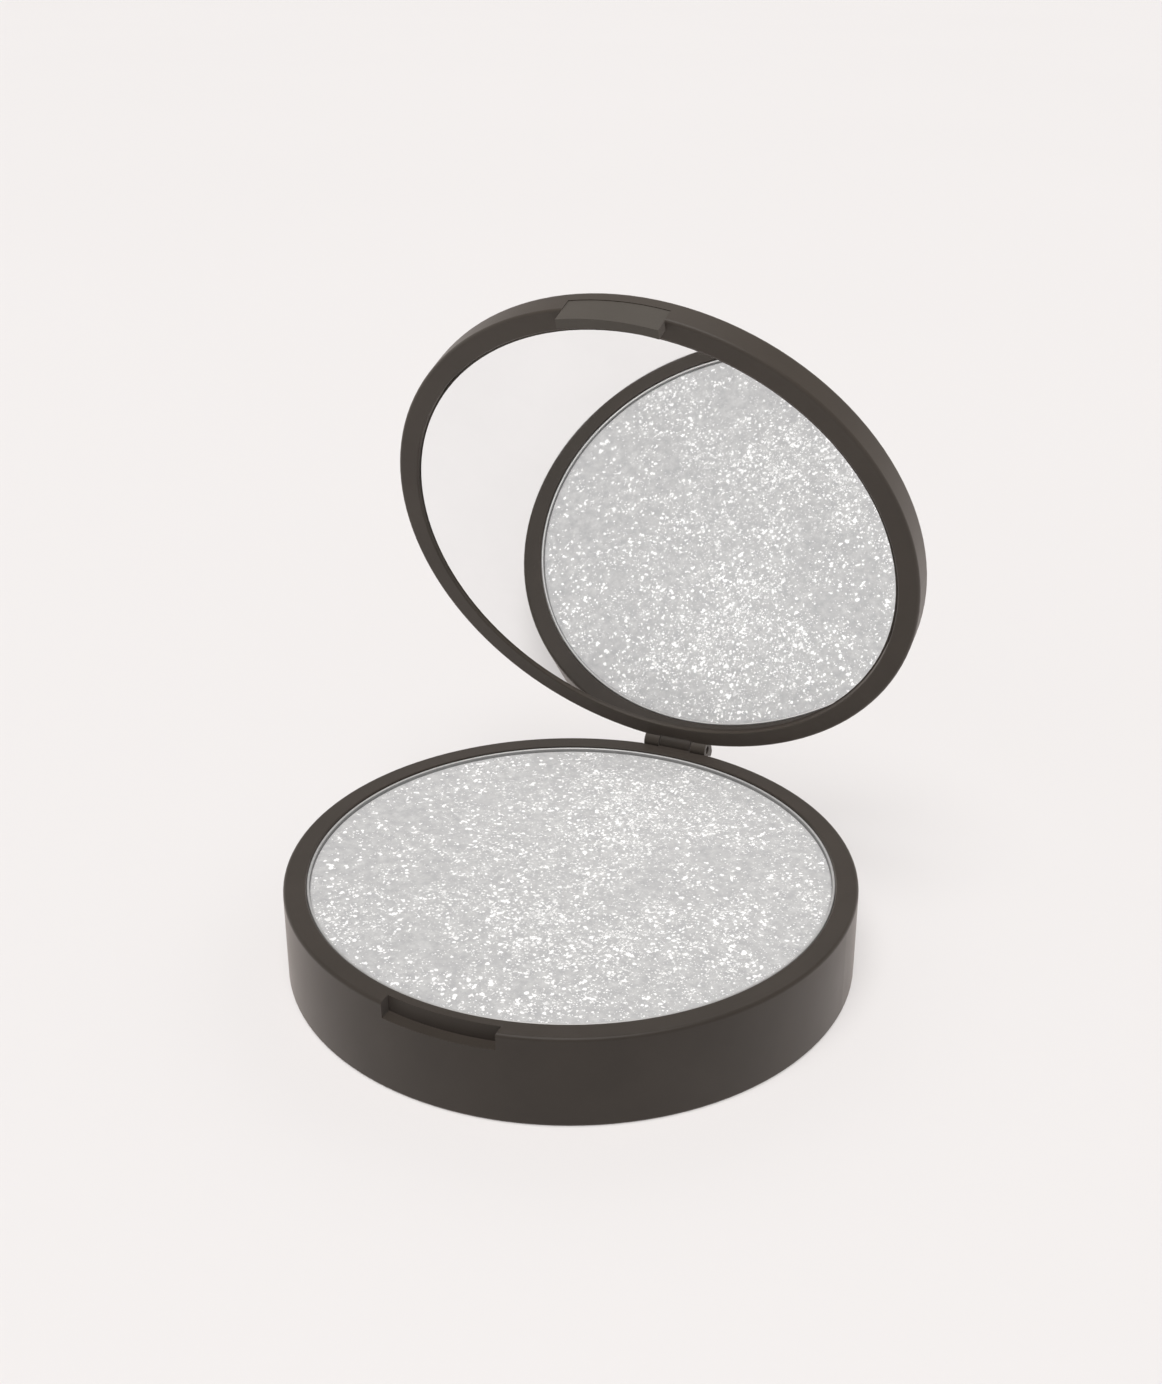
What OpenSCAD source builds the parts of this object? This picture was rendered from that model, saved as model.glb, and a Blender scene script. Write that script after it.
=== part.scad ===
// Powder compact with a hinged mirror lid.
// Origin: centre of the base's underside. +Z is up, the hinge is at +Y and the thumb notch at -Y.
// Every lid piece is drawn closed, lying on the base, and then swung open about the hinge pin.

/* [Case] */
// Outside diameter of the base and the lid
case_d = 70; // [60:0.5:80]
// Height of the base
base_h = 11.4; // [10.5:0.1:14]
// Thickness of the lid
lid_t = 3.8; // [3.4:0.1:4.5]
// Width of the flat rim round the pan and round the mirror
rim_w = 2.7; // [2.4:0.1:3.2]
// Gap between the two rims when the lid is shut
rim_gap = 0.1; // [0.05:0.05:0.3]
// Rounding of the moulded outer edges
edge_r = 0.4; // [0.2:0.05:0.6]
// Rounding of the rims' inner edges
lip_r = 0.2; // [0.1:0.05:0.3]

/* [Pan and powder] */
// Height of the aluminium pan
pan_h = 4.15; // [3.5:0.05:4.5]
// Thickness of the pan's wall and floor
pan_t = 0.35; // [0.25:0.05:0.5]
// How far the pan's edge lies below the rim
pan_drop = 0.15; // [0.05:0.05:0.4]
// How far the powder lies below the pan's edge
powder_drop = 0.4; // [0.2:0.05:0.8]

/* [Mirror] */
// Thickness of the mirror glass
mirror_t = 1.2; // [1:0.1:1.4]
// How far the mirror lies below the lid's rim
mirror_drop = 0.4; // [0.2:0.1:0.8]
// Thickness of the double-sided tapes
tape_t = 0.3; // [0.2:0.05:0.4]

/* [Hinge] */
// How far the lid stands open
open_angle = 70; // [0:1:125]
// Opening at which the heels of the lid's ears meet the base's wall
stop_angle = 125; // [110:1:135]
// Diameter of the hinge pin
pin_d = 1; // [0.8:0.1:1.1]
// Radius of the hinge knuckles
knuckle_r = 1.15; // [1.1:0.05:1.4]
// Overall width of the hinge
hinge_w = 9; // [8:0.5:12]
// Width of the base's middle knuckle
knuckle_w = 4.4; // [3.5:0.1:5]

/* [Latch] */
// Width of the thumb notch
notch_w = 13.8; // [12:0.1:18]
// Height of the thumb notch
notch_h = 2; // [1.8:0.1:2.4]
// Radial depth of the thumb notch
notch_deep = 1.5; // [1.3:0.1:1.6]
// Gap between each end of the tab and the notch
tab_gap = 0.55; // [0.15:0.05:1]
// How far the tab's face lies in from the side wall
tab_inset = 0.1; // [0.05:0.05:0.5]

/* [Hidden] */
$fn = 128;
case_r = case_d / 2;
well_r = case_r - rim_w;
cut = 0.5;              // overshoot of a cutting shape past the face it opens
far = 2 * case_d;       // longer than the whole object
fit_gap = 0.1;          // gap round a dropped-in piece
press_gap = 0.02;       // play left round a piece that is pressed or welded in
round_steps = 6;        // segments in a quarter round

// Base
plate_t = 1.4;
plate_ledge = 0.5;
lower_wall = 1.8;
well_z = base_h - pan_drop - pan_h - tape_t;
well_floor = 1.4;
plate_r = case_r - lower_wall + plate_ledge;

// Pan
pan_r = well_r - fit_gap;
pan_z = well_z + tape_t;
pan_adhesive_r = 14;
powder_r = pan_r - pan_t;
powder_h = pan_h - pan_t - powder_drop;
powder_edge = 0.25;
pan_foot_r = 0.6;

// Label
label_w = 26;
label_l = 12;
label_y = 14;
label_t = 0.1;
label_recess = 0.15;
label_corner = 1.5;

// Lid, drawn shut
lid_z = base_h + rim_gap;
lid_top = lid_z + lid_t;
lid_edge_r = edge_r + 0.2;
recess_h = mirror_drop + mirror_t + tape_t;
mirror_r = well_r - fit_gap;
mirror_bevel = 0.25;
mirror_tape_r = 29;

// Hinge
hinge_y = case_r + 0.6;
hinge_z = base_h + 0.2;
pin_r = pin_d / 2;
pin_end_inset = 0.2;
running = 0.05;         // radial clearance of the pin in the lid's ears
side_gap = 0.15;        // gap between neighbouring knuckles
swing_gap = 0.2;        // radial gap round a turning knuckle
ear_x = knuckle_w / 2 + side_gap;
ear_w = hinge_w / 2 - ear_x;
ear_top = 1.5;          // top of an ear above the hinge axis
heel = 2;               // back of an ear behind the hinge axis
heel_gap = 0.05;        // room left between heel and wall at the stop
root = 1.2;             // how far ears and gusset run into the walls
gusset_h = 4.2;
gusset_toe = 1.1;       // where the gusset's slope meets the knuckle, below the hinge axis

// Latch
notch_r = case_r - notch_deep;
tab_w = notch_w - 2 * tab_gap;
tab_r = case_r - tab_inset;
tab_cover = 1.8;        // lid wall left above the tab
tab_recess_h = lid_t - tab_cover;
tab_reach = rim_gap + notch_h - 0.15;   // how far the tab drops below the lid's rim
bead_w = 8;
bead_z = base_h - 1.2;
bead_h = 0.3;
bead_gap = 0.05;

case_color = "#4d4743";
tab_color = "#565049";

// Points of a round corner of radius r centred at c, from angle a0 to a1
function corner(c, r, a0, a1) =
    [for (i = [0 : round_steps]) c + r * [cos(a0 + (a1 - a0) * i / round_steps),
                                          sin(a0 + (a1 - a0) * i / round_steps)]];

// Swings closed-lid geometry open about the hinge pin
module swing(angle) {
    translate([0, hinge_y, hinge_z])
        rotate([-angle, 0, 0])
            translate([0, -hinge_y, -hinge_z])
                children();
}

// A cylinder along the hinge axis, from x0 to x1
module hinge_rod(r, x0, x1) {
    translate([x0, hinge_y, hinge_z])
        rotate([0, 90, 0])
            cylinder(r = r, h = x1 - x0);
}

// A slab extruded along X from an outline drawn in Y and Z about the hinge axis
module hinge_slab(x0, x1) {
    translate([x0, hinge_y, hinge_z])
        rotate([90, 0, 90])
            linear_extrude(x1 - x0)
                children();
}

// A block at the front, from radius r_in to r_out, between two heights
module front_block(w, r_in, r_out, z0, z1) {
    difference() {
        intersection() {
            translate([0, 0, z0]) cylinder(r = r_out, h = z1 - z0);
            translate([-w / 2, -far, z0]) cube([w, far, z1 - z0]);
        }
        translate([0, 0, z0 - cut]) cylinder(r = r_in, h = z1 - z0 + 2 * cut);
    }
}

// Outline of the base moulding, from the axis outwards
module base_outline() {
    polygon(concat(
        [[0, well_z - well_floor], [case_r - lower_wall, well_z - well_floor],
         [case_r - lower_wall, plate_t], [plate_r, plate_t], [plate_r, 0]],
        corner([case_r - edge_r, edge_r], edge_r, -90, 0),
        corner([case_r - edge_r, base_h - edge_r], edge_r, 0, 90),
        corner([well_r + lip_r, base_h - lip_r], lip_r, 90, 180),
        [[well_r, well_z], [0, well_z]]));
}

// The base's middle knuckle with the gusset that carries it
module base_knuckle() {
    hinge_rod(knuckle_r, -knuckle_w / 2, knuckle_w / 2);
    hinge_slab(-knuckle_w / 2, knuckle_w / 2)
        polygon([[case_r - hinge_y - root, base_h - hinge_z], [case_r - hinge_y - root, -gusset_h],
                 [case_r - hinge_y, -gusset_h], [knuckle_r, -gusset_toe], [knuckle_r, 0], [0, 0]]);
}

module base_shell() {
    color(case_color)
    difference() {
        union() {
            difference() {
                rotate_extrude() base_outline();
                front_block(notch_w, notch_r, case_r + cut, base_h - notch_h, base_h + cut);
                hinge_rod(knuckle_r + swing_gap, -hinge_w / 2 - side_gap, hinge_w / 2 + side_gap);
            }
            base_knuckle();
        }
        hinge_rod(pin_r, -hinge_w, hinge_w);
    }
}

module bottom_plate() {
    color(case_color)
    difference() {
        cylinder(r = plate_r - press_gap, h = plate_t);
        translate([0, label_y, -cut])
            label_slab(label_w + 2 * fit_gap, label_l + 2 * fit_gap, cut + label_recess);
    }
}

// A slab with four round corners
module label_slab(w, l, h) {
    straight_w = w - 2 * label_corner;
    straight_l = l - 2 * label_corner;
    translate([-w / 2, -straight_l / 2, 0]) cube([w, straight_l, h]);
    translate([-straight_w / 2, -l / 2, 0]) cube([straight_w, l, h]);
    for (sx = [-1, 1], sy = [-1, 1])
        translate([sx * straight_w / 2, sy * straight_l / 2, 0]) cylinder(r = label_corner, h = h);
}

module base_label() {
    color("#e9e6e0")
    translate([0, label_y, label_recess - label_t])
        label_slab(label_w, label_l, label_t);
}

module pan_adhesive() {
    color("#d8cfa8")
    translate([0, 0, well_z]) cylinder(r = pan_adhesive_r, h = tape_t);
}

// The pan is drawn from sheet: a round foot outside and a rolled edge on top
module powder_pan() {
    color("#c9cacb")
    translate([0, 0, pan_z])
    rotate_extrude()
        polygon(concat(
            [[0, 0]],
            corner([pan_r - pan_foot_r, pan_foot_r], pan_foot_r, -90, 0),
            corner([pan_r - pan_t / 2, pan_h - pan_t / 2], pan_t / 2, 0, 180),
            [[powder_r, pan_t], [0, pan_t]]));
}

module powder_cake() {
    color("#cfcfd1")
    translate([0, 0, pan_z + pan_t])
    rotate_extrude()
        polygon(concat(
            [[0, 0], [powder_r, 0]],
            corner([powder_r - powder_edge, powder_h - powder_edge], powder_edge, 0, 90),
            [[0, powder_h]]));
}

module hinge_pin() {
    color("#3a3836")
    hinge_rod(pin_r, -hinge_w / 2 + pin_end_inset, hinge_w / 2 - pin_end_inset);
}

// Outline of the lid moulding, shut, from the axis outwards
module lid_outline() {
    polygon(concat(
        [[0, lid_z + recess_h], [well_r, lid_z + recess_h]],
        corner([well_r + lip_r, lid_z + lip_r], lip_r, 180, 270),
        corner([case_r - edge_r, lid_z + edge_r], edge_r, -90, 0),
        corner([case_r - lid_edge_r, lid_top - lid_edge_r], lid_edge_r, 0, 90),
        [[0, lid_top]]));
}

// One ear: an arm from the lid's wall to the pin, with a heel that meets the base at the stop
module lid_ear(x0) {
    hinge_rod(knuckle_r, x0, x0 + ear_w);
    difference() {
        hinge_slab(x0, x0 + ear_w)
            polygon([[case_r - hinge_y - root, 0], [heel, 0], [heel, ear_top - edge_r],
                     [heel - edge_r, ear_top], [case_r - hinge_y - root, ear_top]]);
        hinge_slab(x0 - cut, x0 + ear_w + cut)
            rotate(stop_angle)
                translate([case_r - hinge_y + heel_gap - far, -far / 2]) square(far);
        translate([0, 0, -far]) cylinder(r = well_r, h = 2 * far);
    }
}

module lid_shell() {
    color(case_color)
    swing(open_angle)
    difference() {
        union() {
            difference() {
                rotate_extrude() lid_outline();
                front_block(tab_w + 2 * press_gap, notch_r, case_r + cut, lid_z - cut, lid_z + tab_recess_h);
                hinge_rod(knuckle_r + swing_gap, -ear_x, ear_x);
            }
            lid_ear(ear_x);
            lid_ear(-ear_x - ear_w);
        }
        hinge_rod(pin_r + running, -hinge_w, hinge_w);
    }
}

// The tab fills the recess in the lid's front wall and drops into the base's notch, where the
// bead on its inner face grips the notch's back wall
module latch_tab() {
    color(tab_color)
    swing(open_angle) {
        front_block(tab_w, notch_r + press_gap, tab_r, lid_z, lid_z + tab_recess_h - press_gap);
        front_block(tab_w, notch_r + swing_gap, tab_r, lid_z - tab_reach, lid_z);
        front_block(bead_w, notch_r + bead_gap, tab_r, bead_z, bead_z + bead_h);
    }
}

module mirror_tape() {
    color("#f0f0ee")
    swing(open_angle)
        translate([0, 0, lid_z + mirror_drop + mirror_t]) cylinder(r = mirror_tape_r, h = tape_t);
}

module mirror_glass() {
    color("#dfe3e6")
    swing(open_angle)
    translate([0, 0, lid_z + mirror_drop])
    rotate_extrude()
        polygon([[0, 0], [mirror_r - mirror_bevel, 0], [mirror_r, mirror_bevel],
                 [mirror_r, mirror_t], [0, mirror_t]]);
}

base_shell();
bottom_plate();
base_label();
pan_adhesive();
powder_pan();
powder_cake();
hinge_pin();
lid_shell();
latch_tab();
mirror_tape();
mirror_glass();
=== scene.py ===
"""Open powder compact: looks, floor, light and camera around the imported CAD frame."""
import math
import random

import bpy
from mathutils import Euler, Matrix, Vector, noise


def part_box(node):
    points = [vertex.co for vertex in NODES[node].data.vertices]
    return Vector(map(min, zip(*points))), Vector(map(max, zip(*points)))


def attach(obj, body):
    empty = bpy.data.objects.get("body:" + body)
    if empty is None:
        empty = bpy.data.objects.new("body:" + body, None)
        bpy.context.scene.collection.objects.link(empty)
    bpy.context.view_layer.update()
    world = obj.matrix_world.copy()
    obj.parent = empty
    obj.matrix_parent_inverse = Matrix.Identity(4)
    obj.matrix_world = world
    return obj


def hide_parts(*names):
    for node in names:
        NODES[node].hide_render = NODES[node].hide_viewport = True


MM = 0.001

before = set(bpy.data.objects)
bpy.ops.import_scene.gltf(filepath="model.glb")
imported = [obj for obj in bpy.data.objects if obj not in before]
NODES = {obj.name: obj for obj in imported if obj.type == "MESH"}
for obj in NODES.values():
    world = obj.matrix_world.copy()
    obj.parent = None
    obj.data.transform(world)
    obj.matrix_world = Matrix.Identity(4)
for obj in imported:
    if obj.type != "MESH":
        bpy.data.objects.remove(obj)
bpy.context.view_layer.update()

# The pan and the powder, from the frame
PAN_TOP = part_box("powder_pan")[1].z
CAKE_LOW, CAKE_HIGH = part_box("powder_cake")
CAKE_R = CAKE_HIGH.x
CAKE_TOP = CAKE_HIGH.z

# Camera, fitted to the compact's outlines: angles in degrees, lens and sensor in millimetres, and
# the shift in sensor widths
AIM = Vector((-5.3, 14.7, 35.9)) * MM
CAMERA_AZIMUTH = 24.3
CAMERA_DOWN = 23.4
CAMERA_DISTANCE = 220.2 * MM
LENS = 45.65
SENSOR = 36.0
SHIFT_UP = -0.043
CLIP = (0.005, 30.0)

# Light: a room that is brightest low down, as (sine of the height angle, level), a broad lamp
# from above the front, and a shadowless fill from overhead
LIGHT_TINT = (1.0, 0.985, 0.975)
ROOM_LEVELS = ((0.0, 1.0), (0.2, 0.5), (0.4, 0.5), (0.8, 0.1))
ROOM_STRENGTH = 0.9
LAMPS = (
    # name, azimuth from the front, height, angular size (degrees), strength, casts a shadow
    ("key", 5, 70, 35, 1.15, True),
    ("fill", 0, 88, 35, 1.85, False),
)

# Floor
FLOOR_R = 6.0
FLOOR_SIDES = 64
FLOOR_DROP = 0.02 * MM
FLOOR_TONES = ((0.782, 0.764, 0.761), (0.792, 0.774, 0.771))

# The two tones that each material's pattern runs between, darker first
BASE_PAINT = ((0.03, 0.0235, 0.018), (0.038, 0.03, 0.0235))
# The lid's and the tab's tones are the base's soft-touch paint made lighter: painted light, standing
# in for how bright their rims and faces look
LID_PAINT_WITH_PAINTED_LIGHT = ((0.048, 0.0385, 0.0305), (0.056, 0.0455, 0.036))
TAB_PAINT_WITH_PAINTED_LIGHT = ((0.062, 0.054, 0.0445), (0.073, 0.064, 0.053))
FLAKE_TONES = ((0.95, 0.95, 0.96), (1.0, 0.995, 0.985))
PAN_WALL_TONES = ((0.26, 0.258, 0.255), (0.34, 0.338, 0.335))
# The pan's edge tones are a painted highlight along the top of its rolled edge
PAN_HIGHLIGHT_TONES = ((0.46, 0.457, 0.45), (0.56, 0.557, 0.55))
MIRROR_TONES = ((0.93, 0.932, 0.935), (0.96, 0.962, 0.965))
PIN_TONES = ((0.035, 0.033, 0.032), (0.06, 0.058, 0.056))
PAPER_TONES = ((0.74, 0.73, 0.7), (0.86, 0.85, 0.82))
TAPE_TONES = ((0.7, 0.69, 0.64), (0.84, 0.83, 0.78))

# Noise mostly lies between these two values, so tones and roughness run from one to the other
PATTERN = (0.3, 0.7)

# Sheen of the soft-touch paint
SHEEN_TINT = (1.0, 0.9, 0.84, 1)

# Pressed powder: its mesh, the lumps of its surface as (lumps per metre, share) and its greys
CAKE_RINGS = 96
CAKE_SPOKES = 360
CAKE_EDGE = 0.25 * MM
CAKE_EDGE_ANGLES = (30, 60, 90)
LUMP_HEIGHT = 0.035 * MM
LUMP_SCALES = ((900, 0.6), (2600, 0.4))
POWDER_GREYS = ((0.3, (0.4, 0.4, 0.41)), (0.5, (0.49, 0.49, 0.49)), (0.7, (0.61, 0.61, 0.605)))

# White specks of three sizes, partly the powder's own white grains and partly painted glints, as
# (cells per metre, largest radius in cells, the draw below which a cell stays empty)
SPECKS = ((1150, 0.4, 0.6), (2100, 0.45, 0.45), (3800, 0.47, 0.35))
SPECK_AND_GLINT_WHITE = (0.98, 0.98, 0.975)
SPECK_STRENGTH = (0.45, 1)      # faintest and strongest
SPECK_WARP = 1.1                # how far the cells are shifted, in cells
SPECK_WARP_SCALE = 2.2          # waves of that shift, per cell

# What clusters, drifts and the distance from the middle add to a cell's draw
CROWD_CLUSTERS = (-0.25, 0.2)
CROWD_DRIFTS = (-0.12, 0.12)
CROWD_MIDDLE_TO_EDGE = (0.14, -0.12)

# Glitter flakes lying in the powder
FLAKE_SEED = 7
FLAKE_COUNT = 3600
FLAKE_SIDES = 6
FLAKE_R = (0.06 * MM, 0.32 * MM)
FLAKE_T = 0.02 * MM
FLAKE_TILT = math.radians(11)   # spread of the tilt
FLAKE_STRETCH = (0.55, 1.5)     # length over width
FLAKE_CLUSTER_SCALE = 160       # clusters per metre
FLAKE_CLUSTER_CUT = (-0.5, 0.45)    # noise below which a flake is left out, drawn for each

# Heights at which the painted highlight along the top of the pan's rolled edge starts and is full
PAN_HIGHLIGHT_HEIGHTS = (PAN_TOP - 0.12 * MM, PAN_TOP - 0.06 * MM)


# ---------------------------------------------------------------- node helpers

def fill_ramp(color_ramp, stops):
    """Gives a colour ramp its stops, as (position, colour) from the lowest up."""
    elements = color_ramp.elements
    while len(elements) < len(stops):
        elements.new(0.5)
    for element, (position, color) in zip(elements, stops):
        element.position = position
        element.color = (*color, 1)


class Nodes:
    """Short calls for building one material's node tree; most return the output they make."""

    def __init__(self, name):
        self.material = bpy.data.materials.new(name)
        self.material.use_nodes = True
        self.tree = self.material.node_tree
        self.shader = self.tree.nodes["Principled BSDF"]

    def add(self, kind, **settings):
        """A new node, with its properties or its input sockets set by name."""
        node = self.tree.nodes.new(kind)
        for key, value in settings.items():
            if hasattr(node, key):
                setattr(node, key, value)
            else:
                node.inputs[key].default_value = value
        return node

    def link(self, source, target):
        self.tree.links.new(source, target)

    def set(self, **values):
        """Sets sockets of the shader that are the same all over the surface."""
        for key, value in values.items():
            self.shader.inputs[key.replace("_", " ")].default_value = value

    def drive(self, **sources):
        """Links sources to sockets of the shader."""
        for key, source in sources.items():
            self.link(source, self.shader.inputs[key.replace("_", " ")])

    def place(self):
        """The point on the object, in metres."""
        return self.add("ShaderNodeTexCoord").outputs["Object"]

    def noise(self, scale, detail=2.0, roughness=0.5):
        node = self.add("ShaderNodeTexNoise", Scale=scale, Detail=detail, Roughness=roughness)
        self.link(self.place(), node.inputs["Vector"])
        return node.outputs["Fac"]

    def ramp(self, source, stops):
        node = self.add("ShaderNodeValToRGB")
        fill_ramp(node.color_ramp, stops)
        self.link(source, node.inputs["Fac"])
        return node.outputs["Color"]

    def tones(self, source, pair, span=PATTERN):
        """Runs between two colours as the source goes over a span."""
        return self.ramp(source, tuple(zip(span, pair)))

    def remap(self, source, span, to):
        """Runs between two numbers as the source goes over a span."""
        node = self.add("ShaderNodeMapRange")
        names = ("From Min", "From Max", "To Min", "To Max")
        for key, value in zip(names, (*span, *to)):
            node.inputs[key].default_value = value
        self.link(source, node.inputs["Value"])
        return node.outputs["Result"]

    def combine(self, operation, a, b):
        node = self.add("ShaderNodeMath", operation=operation)
        self.link(a, node.inputs[0])
        self.link(b, node.inputs[1])
        return node.outputs["Value"]

    def vector(self, operation, *sources, **settings):
        node = self.add("ShaderNodeVectorMath", operation=operation, **settings)
        for source, socket in zip(sources, node.inputs):
            self.link(source, socket)
        return node.outputs["Value" if operation == "LENGTH" else "Vector"]

    def mix(self, factor, a, b):
        """Blends two colours; b may be a plain colour."""
        node = self.add("ShaderNodeMix", data_type="RGBA")
        first, second = [s for s in node.inputs if s.type == "RGBA"]
        self.link(factor, node.inputs["Factor"])
        self.link(a, first)
        if isinstance(b, tuple):
            second.default_value = (*b, 1)
        else:
            self.link(b, second)
        return [s for s in node.outputs if s.type == "RGBA"][0]

    def bump(self, height, strength, distance, normal=None):
        """Relief of a depth in metres, laid over another normal if there is one."""
        node = self.add("ShaderNodeBump", Strength=strength, Distance=distance)
        self.link(height, node.inputs["Height"])
        if normal:
            self.link(normal, node.inputs["Normal"])
        return node.outputs["Normal"]


# ---------------------------------------------------------------- materials

def soft_touch(name, paint):
    """Rubbery soft-touch paint over plastic: fine grain, faint mottling and rub marks."""
    m = Nodes(name)
    mottle = m.noise(scale=120, detail=4)
    rubs = m.noise(scale=45, detail=5, roughness=0.6)
    ripple = m.noise(scale=400)
    grain = m.bump(m.noise(scale=9000, detail=3, roughness=0.6), strength=0.35, distance=0.02 * MM)
    m.drive(Base_Color=m.tones(mottle, paint, span=(0.3, 0.75)),
            Roughness=m.remap(rubs, span=(0.3, 0.75), to=(0.56, 0.44)),
            Normal=m.bump(ripple, strength=0.15, distance=0.06 * MM, normal=grain))
    m.set(Specular_IOR_Level=0.25, Sheen_Weight=0.3, Sheen_Roughness=0.45, Sheen_Tint=SHEEN_TINT)
    return m.material


def scattered_specks(m, scale, reach, keep, crowd):
    """Irregular specks, at most one per cell of a warped cell pattern, more where crowd is high."""
    warp = m.add("ShaderNodeTexNoise", Scale=scale * SPECK_WARP_SCALE)
    m.link(m.place(), warp.inputs["Vector"])
    moved = m.vector("SCALE", warp.outputs["Color"], Scale=SPECK_WARP / scale)
    cells = m.add("ShaderNodeTexVoronoi", Scale=scale)
    m.link(m.vector("ADD", m.place(), moved), cells.inputs["Vector"])
    pick = m.add("ShaderNodeSeparateColor")
    m.link(cells.outputs["Color"], pick.inputs["Color"])
    draw = m.combine("ADD", pick.outputs["Red"], crowd)
    radius = m.remap(draw, span=(keep, 1), to=(0, reach))
    spot = m.combine("LESS_THAN", cells.outputs["Distance"], radius)
    strength = m.remap(pick.outputs["Green"], span=(0, 0.8), to=SPECK_STRENGTH)
    return m.combine("MULTIPLY", spot, strength)


def speck_crowd(m):
    """Where specks gather: small clusters, wide drifts, and more in the middle than at the edge."""
    cluster_pattern = m.noise(scale=150, detail=4, roughness=0.65)
    clusters = m.remap(cluster_pattern, span=PATTERN, to=CROWD_CLUSTERS)
    drifts = m.remap(m.noise(scale=40, detail=1), span=PATTERN, to=CROWD_DRIFTS)
    radius = m.vector("LENGTH", m.place())
    middle = m.remap(radius, span=(0, CAKE_R), to=CROWD_MIDDLE_TO_EDGE)
    return m.combine("ADD", m.combine("ADD", clusters, drifts), middle)


def glitter_powder():
    """Pressed silver powder: mottled grey with white specks of three sizes, partly its own white
    grains and partly painted glints.
    """
    m = Nodes("powder_surface")
    greys = m.ramp(m.noise(scale=800, detail=6, roughness=0.75), POWDER_GREYS)
    crowd = speck_crowd(m)
    large, medium, small = (scattered_specks(m, *size, crowd) for size in SPECKS)
    specks = m.combine("MAXIMUM", m.combine("MAXIMUM", large, medium), small)
    grain = m.combine("ADD", m.noise(scale=5200, detail=4, roughness=0.7), specks)
    # The white specks are partly the powder's grains and partly painted glints
    m.drive(Base_Color=m.mix(specks, greys, SPECK_AND_GLINT_WHITE),
            Roughness=m.remap(specks, span=(0, 1), to=(0.75, 0.3)),
            Normal=m.bump(grain, strength=0.35, distance=0.04 * MM))
    return m.material


def glitter_flake():
    """Pearl film, cut into flakes: white with a satin gloss."""
    m = Nodes("glitter_flake")
    tint = m.noise(scale=2500, detail=1)
    m.drive(Base_Color=m.tones(tint, FLAKE_TONES, span=(0.35, 0.65)),
            Roughness=m.remap(tint, span=PATTERN, to=(0.25, 0.45)))
    return m.material


def pan_metal():
    """Drawn aluminium with fine scratches; the top of its rolled edge is painted brighter than the
    wall, a painted highlight.
    """
    m = Nodes("pan_aluminium")
    scratches = m.noise(scale=2600, detail=4, roughness=0.7)
    split = m.add("ShaderNodeSeparateXYZ")
    m.link(m.place(), split.inputs["Vector"])
    # The top of the rolled edge is painted brighter: a painted highlight
    edge = m.remap(split.outputs["Z"], span=PAN_HIGHLIGHT_HEIGHTS, to=(0, 1))
    wall_color = m.tones(scratches, PAN_WALL_TONES)
    highlight_color = m.tones(scratches, PAN_HIGHLIGHT_TONES)
    m.drive(Base_Color=m.mix(edge, wall_color, highlight_color),
            Roughness=m.remap(scratches, span=PATTERN, to=(0.4, 0.6)),
            Normal=m.bump(scratches, strength=0.2, distance=0.02 * MM))
    m.set(Metallic=0.45)
    return m.material


def mirror_silver():
    """Silvered glass, with a barely visible haze of handling."""
    m = Nodes("mirror_silvered_glass")
    haze = m.noise(scale=60, detail=5, roughness=0.65)
    m.drive(Base_Color=m.tones(haze, MIRROR_TONES, span=(0.35, 0.7)),
            Roughness=m.remap(haze, span=(0.4, 0.75), to=(0.012, 0.03)))
    m.set(Metallic=1.0)
    return m.material


def pin_steel():
    """Blackened drawn steel wire."""
    m = Nodes("pin_steel")
    blackening = m.noise(scale=4000, detail=3, roughness=0.7)
    m.drive(Base_Color=m.tones(blackening, PIN_TONES),
            Roughness=m.remap(blackening, span=PATTERN, to=(0.25, 0.45)))
    m.set(Metallic=1.0)
    return m.material


def paper_label():
    """Uncoated white label stock with a fibre pattern."""
    m = Nodes("label_paper")
    fibre = m.noise(scale=1800, detail=6, roughness=0.75)
    m.drive(Base_Color=m.tones(fibre, PAPER_TONES),
            Normal=m.bump(fibre, strength=0.3, distance=0.03 * MM))
    m.set(Roughness=0.8)
    return m.material


def foam_tape():
    """Double-sided foam tape."""
    m = Nodes("foam_tape")
    cells = m.noise(scale=3000, detail=4, roughness=0.6)
    m.drive(Base_Color=m.tones(cells, TAPE_TONES),
            Normal=m.bump(cells, strength=0.4, distance=0.05 * MM))
    m.set(Roughness=0.9)
    return m.material


def studio_floor():
    """Plain pale studio floor."""
    m = Nodes("studio_floor")
    m.drive(Base_Color=m.tones(m.noise(scale=3), FLOOR_TONES, span=(0.2, 0.8)))
    m.set(Roughness=0.9, Specular_IOR_Level=0.1)
    return m.material


# ---------------------------------------------------------------- pieces

def mesh_piece(name, points, faces, material, smooth):
    """A new object from points and faces, in the frame's own place."""
    mesh = bpy.data.meshes.new(name)
    mesh.from_pydata([tuple(p) for p in points], [], faces)
    mesh.update()
    mesh.materials.append(material)
    for polygon in mesh.polygons:
        polygon.use_smooth = smooth
    piece = bpy.data.objects.new(name, mesh)
    bpy.context.scene.collection.objects.link(piece)
    return piece


def surface(x, y):
    """Height of the powder's lumpy pressed surface at a point."""
    lumps = sum(share * noise.noise(Vector((x, y, 0)) * scale) for scale, share in LUMP_SCALES)
    return CAKE_TOP + LUMP_HEIGHT * (lumps - 1)


def ring(radius, count):
    """Points spread evenly round a circle."""
    turns = (2 * math.pi * i / count for i in range(count))
    return [(radius * math.cos(a), radius * math.sin(a)) for a in turns]


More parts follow.
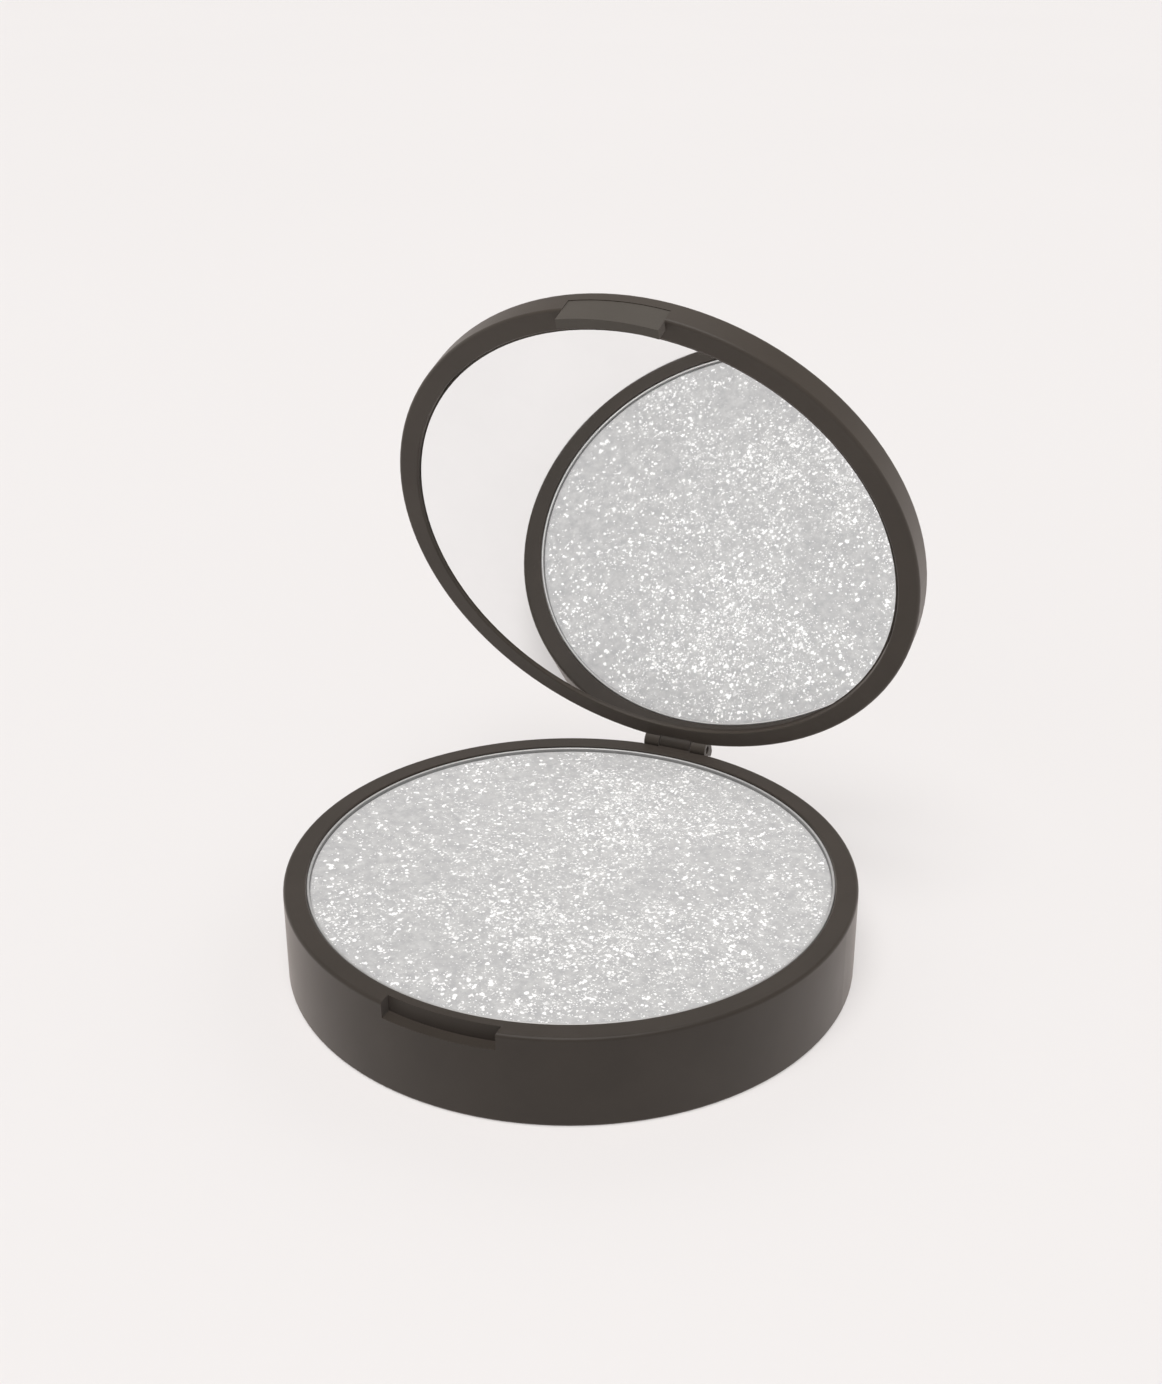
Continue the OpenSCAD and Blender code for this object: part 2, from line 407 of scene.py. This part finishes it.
def powder_piece(material):
    """The powder cake, ring by ring from the middle of its lumpy top to the underside."""
    flat_r = CAKE_R - CAKE_EDGE
    rings = []
    for k in range(1, CAKE_RINGS + 1):
        circle = ring(flat_r * k / CAKE_RINGS, CAKE_SPOKES)
        rings.append([(x, y, surface(x, y)) for x, y in circle])
    for turn in (math.radians(angle) for angle in CAKE_EDGE_ANGLES):
        z = CAKE_TOP - LUMP_HEIGHT - CAKE_EDGE * (1 - math.cos(turn))
        circle = ring(flat_r + CAKE_EDGE * math.sin(turn), CAKE_SPOKES)
        rings.append([(x, y, z) for x, y in circle])
    rings.append([(x, y, CAKE_LOW.z) for x, y in ring(CAKE_R, CAKE_SPOKES)])

    points = [(0, 0, surface(0, 0))]
    faces = [(0, 1 + i, 1 + (i + 1) % CAKE_SPOKES) for i in range(CAKE_SPOKES)]
    for k, level in enumerate(rings):
        start = len(points)
        points += level
        if k:
            inner = start - CAKE_SPOKES
            for i in range(CAKE_SPOKES):
                j = (i + 1) % CAKE_SPOKES
                faces.append((inner + i, start + i, start + j, inner + j))
    faces.append(tuple(reversed(range(len(points) - CAKE_SPOKES, len(points)))))
    piece = mesh_piece("pressed_powder", points, faces, material, smooth=True)
    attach(piece, "base")
    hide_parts("powder_cake")


def flake_places(rng):
    """Points on the powder where flakes lie, gathered in clusters."""
    places = []
    while len(places) < FLAKE_COUNT:
        radius = (CAKE_R - CAKE_EDGE - FLAKE_R[1]) * math.sqrt(rng.random())
        around = rng.uniform(0, 2 * math.pi)
        x, y = radius * math.cos(around), radius * math.sin(around)
        cluster = noise.noise(Vector((x, y, 0)) * FLAKE_CLUSTER_SCALE)
        if cluster > rng.uniform(*FLAKE_CLUSTER_CUT):
            places.append(Vector((x, y, surface(x, y) + FLAKE_T / 2)))
    return places


def flakes_piece(material):
    """Six-sided flakes pressed into the powder's surface, each tilted a little its own way."""
    rng = random.Random(FLAKE_SEED)
    points, faces = [], []
    for centre in flake_places(rng):
        size = FLAKE_R[0] + (FLAKE_R[1] - FLAKE_R[0]) * rng.random() ** 2
        length = size * rng.uniform(*FLAKE_STRETCH)
        turn = Euler((rng.gauss(0, FLAKE_TILT), rng.gauss(0, FLAKE_TILT), rng.uniform(0, math.pi)))
        matrix = turn.to_matrix()
        start = len(points)
        for z in (-FLAKE_T / 2, FLAKE_T / 2):
            for k in range(FLAKE_SIDES):
                a = 2 * math.pi * k / FLAKE_SIDES
                points.append(centre + matrix @ Vector((length * math.cos(a), size * math.sin(a), z)))
        low = range(start, start + FLAKE_SIDES)
        high = range(start + FLAKE_SIDES, start + 2 * FLAKE_SIDES)
        faces += [tuple(high), tuple(reversed(low))]
        for k in range(FLAKE_SIDES):
            j = (k + 1) % FLAKE_SIDES
            faces.append((low[k], low[j], high[j], high[k]))
    piece = mesh_piece("glitter_flakes", points, faces, material, smooth=False)
    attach(piece, "base")


def dress(material, *names):
    """Gives CAD nodes a material."""
    for name in names:
        mesh = NODES[name].data
        mesh.materials.clear()
        mesh.materials.append(material)


# ---------------------------------------------------------------- stage

def make_floor():
    points = [(x, y, -FLOOR_DROP) for x, y in ring(FLOOR_R, FLOOR_SIDES)]
    mesh_piece("floor", points, [tuple(range(FLOOR_SIDES))], studio_floor(), smooth=False)


def make_room():
    """A pale room, about as bright as the floor at the horizon and darker towards the ceiling."""
    world = bpy.data.worlds.new("studio")
    world.use_nodes = True
    bpy.context.scene.world = world
    tree = world.node_tree
    background = tree.nodes["Background"]
    direction = tree.nodes.new("ShaderNodeTexCoord")
    split = tree.nodes.new("ShaderNodeSeparateXYZ")
    ramp = tree.nodes.new("ShaderNodeValToRGB")
    tree.links.new(direction.outputs["Generated"], split.inputs["Vector"])
    tree.links.new(split.outputs["Z"], ramp.inputs["Fac"])
    tree.links.new(ramp.outputs["Color"], background.inputs["Color"])
    stops = [(height, [level * part for part in LIGHT_TINT]) for height, level in ROOM_LEVELS]
    fill_ramp(ramp.color_ramp, stops)
    background.inputs["Strength"].default_value = ROOM_STRENGTH


def direction_from(azimuth, height):
    """Unit vector from the object, azimuth turning from the front (-Y) towards +X."""
    a, h = math.radians(azimuth), math.radians(height)
    return Vector((math.sin(a) * math.cos(h), -math.cos(a) * math.cos(h), math.sin(h)))


def make_lamp(name, azimuth, height, size, strength, shadow):
    light = bpy.data.lights.new(name, "SUN")
    light.energy = strength
    light.angle = math.radians(size)
    light.color = LIGHT_TINT
    light.use_shadow = shadow
    lamp = bpy.data.objects.new(name, light)
    lamp.rotation_euler = direction_from(azimuth, height).to_track_quat("Z", "Y").to_euler()
    bpy.context.scene.collection.objects.link(lamp)


def make_camera():
    back = direction_from(CAMERA_AZIMUTH, CAMERA_DOWN)
    data = bpy.data.cameras.new("camera")
    data.sensor_width = SENSOR
    data.lens = LENS
    data.shift_y = SHIFT_UP
    data.clip_start, data.clip_end = CLIP
    camera = bpy.data.objects.new("camera", data)
    camera.location = AIM + CAMERA_DISTANCE * back
    camera.rotation_euler = back.to_track_quat("Z", "Y").to_euler()
    bpy.context.scene.collection.objects.link(camera)
    bpy.context.scene.camera = camera


def dress_nodes():
    dress(soft_touch("base_soft_touch", BASE_PAINT), "base_shell", "bottom_plate")
    # The lid and the tab get lighter copies of the base's paint: painted light
    dress(soft_touch("lid_soft_touch_painted_light", LID_PAINT_WITH_PAINTED_LIGHT), "lid_shell")
    dress(soft_touch("tab_soft_touch_painted_light", TAB_PAINT_WITH_PAINTED_LIGHT), "latch_tab")
    dress(pan_metal(), "powder_pan")
    dress(mirror_silver(), "mirror_glass")
    dress(pin_steel(), "hinge_pin")
    dress(paper_label(), "base_label")
    dress(foam_tape(), "pan_adhesive", "mirror_tape")


dress_nodes()
powder_piece(glitter_powder())
flakes_piece(glitter_flake())
make_floor()
make_room()
for lamp in LAMPS:
    make_lamp(*lamp)
make_camera()
bpy.context.scene.view_settings.view_transform = "Standard"
